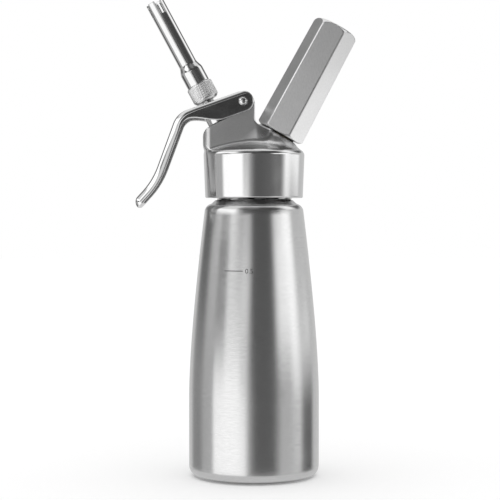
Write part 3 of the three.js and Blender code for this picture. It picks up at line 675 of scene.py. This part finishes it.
def make_stem():
    """Valve stem with its sealing disc, O-ring groove, bore and threaded top"""
    steps = 96
    foot, disc, stem, groove, bore_radius = 14.1, 6.0, 3.9, 3.0, 2.0
    thread_foot, top = 56.4, 68.0
    rows = np.concatenate([
        ring_rows([
            (AXIS, foot), (disc - 0.2, foot), (disc, foot + 0.2), (disc, 16.1), (disc - 0.2, 16.3),
            (stem, 16.3), (stem, 29.9), (groove, 29.9), (groove, 32.1), (stem, 32.1), (stem, 55.0),
            (stem, thread_foot),
        ], steps),
        thread_rows(crest=stem, depth=0.5, pitch=1.0, low=thread_foot + 0.2, high=top - 0.4,
                    steps=steps, rows_per_turn=12, taper=0.8),
        ring_rows([(3.3, top), (bore_radius, top), (bore_radius, 19.0), (AXIS, 18.5)], steps),
    ])
    points, faces = swept(rows)
    return add_object("valve_stem_threaded", place_on_axis(points, VALVE), faces, crease=30.0)


def make_cap():
    """Cap that holds the spring's upper end on the stem"""
    foot, top = 44.5, 54.0
    corners = [(5.8, foot), (6.6, foot), (6.6, 53.0), (5.6, top), (4.2, top), (4.2, 52.2),
               (5.8, 52.2), (5.8, foot)]
    points, faces = turned(rounded(corners, 0.25)[1:-1], 96)
    return add_object("spring_cap_turned", place_on_axis(points, VALVE), faces)


def make_spring(material):
    """Return spring with closed end turns, between the head and the cap"""
    turns, low, high, coil, wire = 6, 34.75, 51.45, 4.85, 0.55
    end_pitch, end_turns = 0.4, 1.2
    at = np.linspace(0, turns, turns * 28 + 1)
    opening = np.clip(np.minimum(at, turns - at) / end_turns, 0, 1)
    pitch = end_pitch + (1 - end_pitch) * opening
    rise = np.concatenate([[0.0], np.cumsum((pitch[1:] + pitch[:-1]) / 2)])
    heights = low + (high - low) * rise / rise[-1]
    ends = np.concatenate([[AXIS], np.full(len(at), wire), [AXIS]])[:, None]
    angles = (2 * math.pi * np.concatenate([at[:1], at, at[-1:]]))[:, None]
    heights = np.concatenate([heights[:1], heights, heights[-1:]])[:, None]
    round_wire = round_angles(12)
    radius = coil + ends * np.cos(round_wire)
    grid = np.stack([
        radius * np.cos(angles), radius * np.sin(angles), heights + ends * np.sin(round_wire),
    ], -1)
    points, faces = swept(grid)
    spring = add_object("valve_spring_coil", place_on_axis(points, VALVE), faces, crease=60.0)
    spring.data.materials.append(material)
    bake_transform(spring)
    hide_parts("valve_spring")


def make_tip_ring():
    """Ring with a fine diamond knurl, a plain lip at its foot and a chamfer at its top"""
    steps, starts = 864, 40
    low, high, full, inner, bore_radius = 58.8, 69.6, 8.0, 6.3, 4.2
    knurl_low, knurl_high = low + 1.75, high - 0.45
    depth, plain, fading, slope = 0.13, 0.1, 0.35, 0.95
    heights = np.linspace(knurl_low, knurl_high, 120)[:, None]
    angles = round_angles(steps)
    slant = heights / full * slope
    ridge = sum(np.abs(np.sin(starts / 2 * (angles + side * slant))) for side in (1, -1))
    fade = np.clip(np.minimum(heights - knurl_low, knurl_high - heights) / fading, 0, 1)
    radius = full - depth * (2 - ridge) * fade - plain * (1 - fade)
    rows = np.concatenate([
        ring_rows([
            (bore_radius, low), (inner, low), (6.5, low + 0.1), (7.8, low + 1.4), (7.9, low + 1.7),
        ], steps),
        rings_of(radius, angles, heights),
        ring_rows([
            (7.7, 69.45), (7.45, high), (inner, high), (inner, 62.1), (bore_radius, 62.1),
        ], steps),
    ])
    points, faces = swept(rows, wrap_rows=True)
    return add_object("tip_ring_knurled", place_on_axis(points, VALVE), faces, crease=55.0)


def nozzle_field(x, y, z):
    """The nozzle tube upright about its axis, with two pairs of slots in its mouth"""
    radius = np.hypot(x, y)
    low = z < TUBE_FOOT
    cone = smooth_share(z, *CONE)
    outside = TUBE_FOOT_RADIUS + (TUBE_RADIUS - TUBE_FOOT_RADIUS) * cone
    outside = np.where(low, SPIGOT_RADIUS, outside)
    tube = round_max(radius - outside, TUBE_FOOT - z, TUBE_FOOT_EDGE)
    tube = round_max(tube, z - TUBE_TOP, TUBE_TOP_EDGE)
    spigot = round_max(radius - SPIGOT_RADIUS, SPIGOT_FOOT - z, SPIGOT_EDGE)
    spigot = round_max(spigot, z - SPIGOT_TOP, SPIGOT_EDGE)
    opening = np.clip((z - BORE_CONE_FOOT) / BORE_CONE_LENGTH, 0, 1)
    inside = TUBE_FOOT_BORE + (TUBE_BORE - TUBE_FOOT_BORE) * opening
    inside = np.where(low, SPIGOT_BORE, inside)
    tube = round_max(np.minimum(tube, spigot), inside - radius, TUBE_BORE_EDGE)
    floor = TUBE_TOP - SLOT_DEPTH - z
    for turn in SLOT_TURNS:
        angle = math.radians(turn)
        beside = np.abs(-x * math.sin(angle) + y * math.cos(angle)) - SLOT_HALF
        tube = round_max(tube, -round_max(beside, floor, SLOT_ROUND), SLOT_EDGE)
    return tube


def make_nozzle():
    points, faces, normals = solid_surface(
        nozzle_field, low=(-7.6, -7.6, 62), high=(7.6, 7.6, 126), step=0.26,
    )
    points = place_on_axis(points, VALVE)
    normals = place_on_axis(normals, (0.0, VALVE[1]))
    return add_object("nozzle_tube_slotted", points, faces, normals)


# Charger side

def make_stud():
    """Inlet stud with a threaded head and a stepped bore"""
    steps = 144
    foot, step, top = 19.6, 32.4, 42.0
    rows = np.concatenate([
        ring_rows([(3.2, foot), (6.3, foot), (6.5, 19.8), (6.5, step), (8.6, step)], steps),
        thread_rows(crest=9.7, depth=0.8, pitch=1.5, low=32.5, high=41.8,
                    steps=steps, rows_per_turn=12, taper=0.9),
        ring_rows([(8.9, top), (5.2, top), (5.0, 41.8), (5.0, 32.3), (3.4, 32.3), (3.4, 29.0),
                   (1.5, 29.0), (1.5, 25.0), (3.2, 25.0)], steps),
    ])
    points, faces = swept(rows, wrap_rows=True)
    return add_object("inlet_stud_threaded", place_on_axis(points, CHARGER), faces, crease=40.0)


def hexagon_radius(angle, sharp, corner):
    """Radius of a hexagon with rounded corners at each angle from a corner"""
    half_side = math.pi / 6
    inner = sharp - corner / math.cos(half_side)
    folded = np.abs(np.mod(angle + half_side, math.pi / 3) - half_side)
    flat = sharp * math.cos(half_side) / np.cos(half_side - folded)
    across = inner * np.sin(folded)
    along = inner * np.cos(folded)
    arc = along + np.sqrt(np.maximum(corner ** 2 - across ** 2, 0))
    edge = np.arctan2(corner * math.sin(half_side), inner + corner * math.cos(half_side))
    return np.where(folded < edge, arc, flat)


def make_holder():
    """Hexagonal holder whose ends are turned round, with its bore"""
    steps = 576
    low, high = 31.9, 104.2
    sharp, corner, taper = 15.2, 1.5, 1.05
    foot, top = 2.4, 4.0
    turn = math.radians(-6.3)
    angles = round_angles(steps)
    curve = 1 - np.cos(np.linspace(0, math.pi / 2, 16))
    heights = np.concatenate([
        low + foot * curve, np.linspace(low + foot, high - top, 60)[1:-1], high - top * curve[::-1],
    ])
    rows = []
    for height in heights:
        share = (height - low) / (high - low)
        hexagon = hexagon_radius(angles - turn, sharp - taper * share, corner)
        lift = max(0.0, 1 - (height - low) / foot)
        drop = max(0.0, 1 - (high - height) / top)
        blank = sharp - foot * lift ** 2
        if drop > 0:
            blank = sharp - taper - top * (1 - math.sqrt(1 - drop ** 2))
        rows.append(rings_of(np.minimum(hexagon, blank), angles, height)[0])
    hole, hole_top, hole_low = 9.5, 100.9, 42.3
    rows = np.concatenate([
        ring_rows([(10.0, low + 0.5), (10.5, low)], steps),
        np.array(rows),
        ring_rows([
            (6.0, high), (AXIS, high), (AXIS, hole_top), (hole - 0.2, hole_top), (hole, 100.7),
            (hole, hole_low), (10.0, hole_low),
        ], steps),
    ])
    points, faces = swept(rows, wrap_rows=True)
    return add_object("holder_hexagon", place_on_axis(points, CHARGER), faces, crease=24.0)


# Materials

# Heights in metres between which the shade painted on the bottle's foot ends, and the satin block
# starts
FOOT_PAINTED_SHADE_HEIGHTS = (0.0008, 0.0022)
BLOCK_START_HEIGHTS = (0.1925, 0.1965)


def add_node(tree, kind, inputs=(), **settings):
    """A node with its settings made, and each input given a value or linked to a socket"""
    made = tree.nodes.new(kind)
    for name, value in settings.items():
        setattr(made, name, value)
    for name, value in inputs:
        if isinstance(value, bpy.types.NodeSocket):
            tree.links.new(value, made.inputs[name])
        else:
            made.inputs[name].default_value = value
    return made


def opaque(colour):
    """Red, green, blue and full alpha, from one grey level or from three parts"""
    return (*colour, 1) if isinstance(colour, tuple) else (colour, colour, colour, 1)


class Shader:
    """A material with its nodes at hand, patterned by the place on the object in metres"""

    def __init__(self, name):
        self.material = bpy.data.materials.new(name)
        self.material.use_nodes = True
        self.tree = self.material.node_tree
        self.surface = self.tree.nodes["Principled BSDF"]
        self.place = self.node("ShaderNodeTexCoord").outputs["Object"]

    def node(self, kind, inputs=(), **settings):
        return add_node(self.tree, kind, inputs, **settings)

    def height(self):
        return self.node("ShaderNodeSeparateXYZ", ((0, self.place),)).outputs["Z"]

    def noise(self, scale, detail, roughness=0.55, turn=(0, 0, 0)):
        """Noise with one scale or one for each axis, turned so that its streaks follow the shape"""
        scale = scale if isinstance(scale, tuple) else (scale, scale, scale)
        mapping = self.node("ShaderNodeMapping", (
            ("Vector", self.place), ("Scale", scale), ("Rotation", turn),
        ))
        return self.node("ShaderNodeTexNoise", (
            ("Vector", mapping.outputs["Vector"]), ("Scale", 1.0), ("Detail", detail),
            ("Roughness", roughness),
        )).outputs["Fac"]

    def ranged(self, value, low, high, start=0.3, end=0.7):
        return self.node("ShaderNodeMapRange", (
            ("Value", value), ("From Min", start), ("From Max", end),
            ("To Min", low), ("To Max", high),
        )).outputs["Result"]

    def mixed(self, value, dark, light, start=0.3, end=0.7):
        ramp = self.node("ShaderNodeValToRGB", (("Fac", value),))
        for element, position, colour in zip(
            ramp.color_ramp.elements, (start, end), (dark, light),
        ):
            element.position = position
            element.color = opaque(colour)
        return ramp.outputs["Color"]

    def total(self, first, second):
        return self.node("ShaderNodeMath", ((0, first), (1, second)), operation="ADD").outputs[0]

    def bump(self, value, distance, strength):
        relief = self.node("ShaderNodeBump", (
            ("Height", value), ("Distance", distance), ("Strength", strength),
        ))
        self.feed(relief.outputs["Normal"], "Normal")

    def feed(self, value, socket):
        self.tree.links.new(value, self.surface.inputs[socket])

    def set(self, **values):
        for name, value in values.items():
            self.surface.inputs[name.replace("_", " ")].default_value = value


def patterned(name, colours, roughness, relief, grain, haze=None, metallic=1.0):
    """A material whose grain shows in its colour and relief, and whose haze shows in its roughness.
    Without a haze the grain does both. Relief is a distance and a strength."""
    s = Shader(name)
    fine = s.noise(*grain)
    slow = s.noise(*haze) if haze else fine
    s.feed(s.mixed(fine, *colours), "Base Color")
    s.feed(s.ranged(slow, *roughness), "Roughness")
    if relief:
        s.bump(fine, *relief)
    s.set(Metallic=metallic)
    return s.material


def brushed_steel():
    """Satin steel with fine streaks round the bottle, with shade painted on its foot where it meets
    the table
    """
    s = Shader("steel_brushed_round")
    streaks = s.noise((260, 260, 2600), 3.0, 0.7)
    cloud = s.noise((30, 30, 46), 3.0)
    # Painted shade: below about two millimetres the colour is multiplied down to 0.12 at the foot,
    # standing in for the shadow under the bottle
    lift = s.ranged(s.height(), 0, 1, *FOOT_PAINTED_SHADE_HEIGHTS)
    tone = s.node("ShaderNodeMix", (
        ("Factor", 1.0), ("A", s.mixed(streaks, 0.66, 0.76)),
        ("B", s.mixed(lift, 0.12, 1.0, 0.0, 1.0)),
    ), data_type="RGBA", blend_type="MULTIPLY")
    s.feed(tone.outputs["Result"], "Base Color")
    s.feed(s.total(s.ranged(streaks, 0.11, 0.14), s.ranged(cloud, 0.08, 0.11)), "Roughness")
    s.bump(streaks, 0.000014, 0.1)
    tangent = s.node("ShaderNodeTangent", direction_type="RADIAL", axis="Z")
    s.feed(tangent.outputs["Tangent"], "Tangent")
    s.set(Metallic=1.0, Anisotropic=0.5, Anisotropic_Rotation=0.25)
    return s.material


def satin_steel():
    """Head steel: polished on the turned collar, satin on the block above it"""
    s = Shader("steel_satin")
    grain = s.noise((900, 900, 2600), 3.0, 0.6)
    cloud = s.noise(55, 2.0)
    s.feed(s.mixed(grain, 0.70, 0.76), "Base Color")
    collar_or_block = s.ranged(s.height(), 0.06, 0.24, *BLOCK_START_HEIGHTS)
    s.feed(s.total(collar_or_block, s.ranged(cloud, 0.03, 0.07)), "Roughness")
    s.bump(grain, 0.000006, 0.12)
    s.set(Metallic=1.0)
    return s.material


def plain_metal(name, dark, light, low, high):
    """Metal of the inner parts and of the lever's inside: mottled colour and roughness"""
    return patterned(name, (dark, light), (low, high), (0.00001, 0.25), ((300, 300, 600), 3.0))


def moulded_rubber(name, dark, light):
    return patterned(name, (dark, light), (0.55, 0.72), (0.00002, 0.3), (500, 3.0), metallic=0.0)


# Pieces on their bodies

def dress(piece, material, body, slot, *nodes):
    piece.data.materials.clear()
    piece.data.materials.append(material)
    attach(piece, body)
    if nodes:
        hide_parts(*nodes)


def build_object(frame):
    """Every piece on its body, and a material for every node that stays as it is"""
    steel = brushed_steel()
    satin = satin_steel()
    polished = patterned(
        "steel_polished", (0.74, 0.80), (0.06, 0.11), (0.000003, 0.15),
        ((1800, 220, 1800), 3.0, 0.6, (0, 0.6, 0)), (90, 3.0),
    )
    tube = patterned(
        "steel_drawn_tube", (0.72, 0.78), (0.08, 0.13), (0.000004, 0.15),
        ((2400, 2400, 160), 3.0, 0.6, (0, -VALVE[1], 0)), (120, 2.0),
    )
    aluminium = patterned(
        "aluminium_satin", (0.76, 0.88), (0.28, 0.34), (0.000012, 0.35),
        ((2200, 2200, 500), 4.0, 0.7, (0, -CHARGER[1], 0)), (40, 2.0),
    )
    knurled = patterned("steel_knurled", (0.84, 0.92), (0.22, 0.30), (0.00001, 0.3), (400, 3.0))
    ink = patterned("ink_grey", (0.035, 0.07), (0.4, 0.6), None, (900, 3.0), metallic=0.0)
    zinc = plain_metal("steel_zinc_plated", (0.42, 0.4242, 0.4368), 0.56, 0.3, 0.42)
    brass = plain_metal("brass_machined", (0.58, 0.43, 0.2), (0.74, 0.58, 0.3), 0.22, 0.34)
    spring_steel = plain_metal("steel_spring", 0.5, 0.66, 0.2, 0.32)
    # Inside of the lever's channel: rougher steel than the outside, with a darker colour that is
    # painted shade
    pressed = plain_metal("steel_pressed_dull_painted_shade", 0.56, 0.66, 0.32, 0.42)
    black = moulded_rubber("rubber_black", 0.018, 0.035)
    red = moulded_rubber("rubber_red", (0.36, 0.06, 0.04), (0.5, 0.11, 0.07))

    dress(make_bottle(), steel, "bottle", "bottle_steel", "bottle")
    dress(make_fill_mark(), ink, "bottle", "bottle_steel")
    dress(make_neck_ring(), satin, "bottle", "bottle_steel", "neck_ring")
    dress(make_head(), satin, "head", "head_steel", "head")
    make_lever(polished, pressed)
    dress(make_lever_pin(), polished, "lever", "polished_steel", "lever_pin")
    dress(make_stem(), tube, "valve", "polished_steel", "valve_stem")
    dress(make_cap(), polished, "valve", "polished_steel", "spring_cap")
    make_spring(spring_steel)
    dress(make_tip_ring(), knurled, "nozzle", "knurled_steel", "tip_ring")
    dress(make_nozzle(), tube, "nozzle", "polished_steel", "nozzle_tube")
    dress(make_stud(), brass, "head", "brass", "inlet_stud")
    dress(make_holder(), aluminium, "holder", "holder_aluminium", "charger_holder")

    kept = {
        "head_gasket": red, "check_valve": red,
        "valve_seal": black, "stem_o_ring": black, "tip_seal": black,
        "stud_washer": black, "piercing_gasket": black,
        "piercing_pin": spring_steel,
        "check_valve_retainer": brass, "gas_charger": zinc,
    }
    for name, material in kept.items():
        node = frame["nodes"][name]
        node.data.materials.clear()
        node.data.materials.append(material)


# Stage

# Floor in metres, and its patch round the foot in millimetres. Both lie a little below the foot.
FLOOR_EDGES = ((-3, -2), (3, -2), (3, 4), (-3, 4))
FLOOR_DROP = 0.0002
FLOOR_GLOW = 0.225
FOOT_PATCH_RADIUS = 60.0

# Steepest elevation that the studio's limits may reach, and the least width of one of its steps
STEEPEST = 89.9
STEP_AT_LEAST = 1e-4

# Soft boxes and dark flags that the metal sees, each laid over the ones above it. All are in
# degrees: middle and half width, counted round from the camera's side towards +X, and their
# softness, then lowest and highest elevation and their softness. The last number is the level.
# A half width of 180 goes all round.
STUDIO = (
    ("back wall", 180, 52, 16, -90, 90, 1, 0.65),
    ("left fill", -92, 16, 12, -90, 90, 1, 0.50),
    ("left flag", -123, 16, 10, -1, 60, 4, 0.13),
    ("left low flag", -122, 14, 10, -14, -1, 3, 0.32),
    ("overhead", 0, 180, 0, 36, 90, 4, 0.90),
    ("key low", -51, 25, 4, -40, 1, 2, 1.50),
    ("key foot", -44, 30, 6, -40, -4, 2, 1.30),
    ("key", -34, 17, 13, 1, 34, 3, 0.85),
    ("key high", -38, 28, 12, 11, 34, 5, 0.45),
    ("rim strip", -80, 38, 8, 15, 34, 2, 1.50),
    ("gap flag", -67, 8, 8, 0.5, 14, 2, 0.03),
    ("left high flag", -138, 22, 8, 8, 36, 5, 0.18),
    ("centre flag", 18, 22, 12, -60, 64, 4, 0.12),
    ("holder box", -15, 8, 5, 8, 14, 2, 1.20),
    ("camera flag", -3, 6, 3, 1, 7, 3, 0.035),
    ("right box", 67, 21, 10, -3, 17, 4, 1.45),
    ("collar flag", 48, 22, 10, -6, 1, 2, 0.14),
    ("collar box", 104, 18, 10, -1.5, 1.5, 1, 1.30),
    ("right low", 70, 14, 12, -16, -5, 3, 0.55),
    ("right foot flag", 110, 14, 8, -16, -4, 2, 0.03),
    ("right low wall", 112, 26, 10, -50, -19, 4, 1.20),
    ("high flag", 18, 46, 8, 15, 48, 4, 0.07),
    ("flare flag", -20, 22, 8, 34, 50, 4, 0.08),
    ("overhead flag", 6, 50, 14, 46, 72, 4, 0.22),
    ("high right flag", 48, 32, 8, 30, 62, 4, 0.06),
    ("high box", 106, 12, 8, 26, 50, 5, 1.25),
    ("back high flag", 146, 18, 8, 18, 50, 5, 0.12),
    ("back low flag", -128, 20, 8, -36, -13, 4, 0.10),
    ("table", 0, 180, 0, -90, -37, 4, 0.90),
)
STUDIO_BASE = 0.62


def make_world():
    """White for the camera, plain light on matt surfaces, and the studio in the metal"""
    world = bpy.data.worlds.new("studio")
    bpy.context.scene.world = world
    world.use_nodes = True
    tree = world.node_tree
    tree.nodes.clear()

    def share(value, low, high):
        return add_node(tree, "ShaderNodeMapRange", (
            ("Value", value), ("From Min", low), ("From Max", high),
        ), interpolation_type="SMOOTHSTEP").outputs[0]

    def combined(operation, first, second):
        return add_node(
            tree, "ShaderNodeMath", ((0, first), (1, second)), operation=operation,
        ).outputs[0]

    def way(operation, *vectors):
        return add_node(tree, "ShaderNodeVectorMath", enumerate(vectors), operation=operation)

    def background(strength):
        return add_node(tree, "ShaderNodeBackground", (
            ("Color", (1, 1, 1, 1)), ("Strength", strength),
        )).outputs[0]

    direction = add_node(tree, "ShaderNodeTexCoord").outputs["Generated"]
    level_way = way("MULTIPLY", direction, (1.0, 1.0, 0.0)).outputs[0]
    level_way = way("NORMALIZE", level_way).outputs[0]
    rise = add_node(tree, "ShaderNodeSeparateXYZ", ((0, direction),)).outputs["Z"]
    level = STUDIO_BASE
    for _, middle, half, soft, low, high, edge, strength in STUDIO:
        lift = [math.sin(math.radians(max(-STEEPEST, min(STEEPEST, place)))) for place in (
            low - edge, low + edge, high - edge, high + edge,
        )]
        mask = share(rise, lift[0], lift[1] + STEP_AT_LEAST)
        fall = share(rise, lift[2] - STEP_AT_LEAST, lift[3])
        mask = combined("MULTIPLY", mask, combined("SUBTRACT", 1.0, fall))
        if half < 180:
            turn = math.radians(middle)
            towards = (math.sin(turn), -math.cos(turn), 0.0)
            facing = way("DOT_PRODUCT", level_way, towards).outputs["Value"]
            inner, outer = (math.cos(math.radians(half + side * soft)) for side in (-1, 1))
            mask = combined("MULTIPLY", mask, share(facing, outer, inner))
        level = add_node(tree, "ShaderNodeMix", (
            ("Factor", mask), ("A", level), ("B", strength),
        ), data_type="FLOAT").outputs["Result"]
    path = add_node(tree, "ShaderNodeLightPath")
    choice = add_node(tree, "ShaderNodeMixShader", (
        (0, path.outputs["Is Glossy Ray"]), (1, background(1.0)), (2, background(level)),
    ))
    add_node(tree, "ShaderNodeOutputWorld", (("Surface", choice.outputs[0]),))


def make_floor():
    """Pale floor that keeps the object's shadow and runs out to white. Metal sees it only close
    round the foot, as a patch that nothing else sees."""
    s = Shader("floor_pale")
    s.feed(s.mixed(s.noise(3, 2.0), 0.80, 0.82), "Base Color")
    s.set(Roughness=0.9, Specular_IOR_Level=0.0)
    path = s.node("ShaderNodeLightPath")
    strength = s.node("ShaderNodeMath", (
        (0, path.outputs["Is Camera Ray"]), (1, FLOOR_GLOW),
    ), operation="MULTIPLY")
    glow = s.node("ShaderNodeEmission", (
        ("Color", (1, 1, 1, 1)), ("Strength", strength.outputs[0]),
    ))
    both = s.node("ShaderNodeAddShader", ((0, s.surface.outputs[0]), (1, glow.outputs[0])))
    s.tree.links.new(both.outputs[0], s.tree.nodes["Material Output"].inputs["Surface"])

    mesh = bpy.data.meshes.new("floor")
    mesh.from_pydata([(x, y, 0) for x, y in FLOOR_EDGES], [], [(0, 1, 2, 3)])
    floor = bpy.data.objects.new("floor", mesh)
    bpy.context.scene.collection.objects.link(floor)
    floor.visible_glossy = False
    patch = add_object("floor_under_foot", *turned([(0.0, 0.0), (FOOT_PATCH_RADIUS, 0.0)], 64))
    patch.visible_camera = patch.visible_diffuse = patch.visible_shadow = False
    for sheet in (floor, patch):
        sheet.location.z = -FLOOR_DROP
        sheet.data.materials.append(s.material)


def make_camera():
    camera = bpy.data.cameras.new("camera")
    camera.lens = 108.0
    camera.sensor_width = 36.0
    camera.clip_end = 20
    view = bpy.data.objects.new("camera", camera)
    view.location = (-0.0024, -0.9, 0.1593)
    view.rotation_euler = (math.radians(90 - 1.53), 0, 0)
    bpy.context.scene.collection.objects.link(view)
    bpy.context.scene.camera = view


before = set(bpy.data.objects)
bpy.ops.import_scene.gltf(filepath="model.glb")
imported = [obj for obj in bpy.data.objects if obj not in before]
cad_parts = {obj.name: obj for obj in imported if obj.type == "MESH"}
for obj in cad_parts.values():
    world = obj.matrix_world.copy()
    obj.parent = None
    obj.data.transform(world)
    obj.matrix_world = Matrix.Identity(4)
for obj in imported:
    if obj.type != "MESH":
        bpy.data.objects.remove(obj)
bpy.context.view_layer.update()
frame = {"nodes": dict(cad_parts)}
build_object(frame)
make_world()
make_floor()
make_camera()
bpy.context.scene.view_settings.view_transform = "Standard"
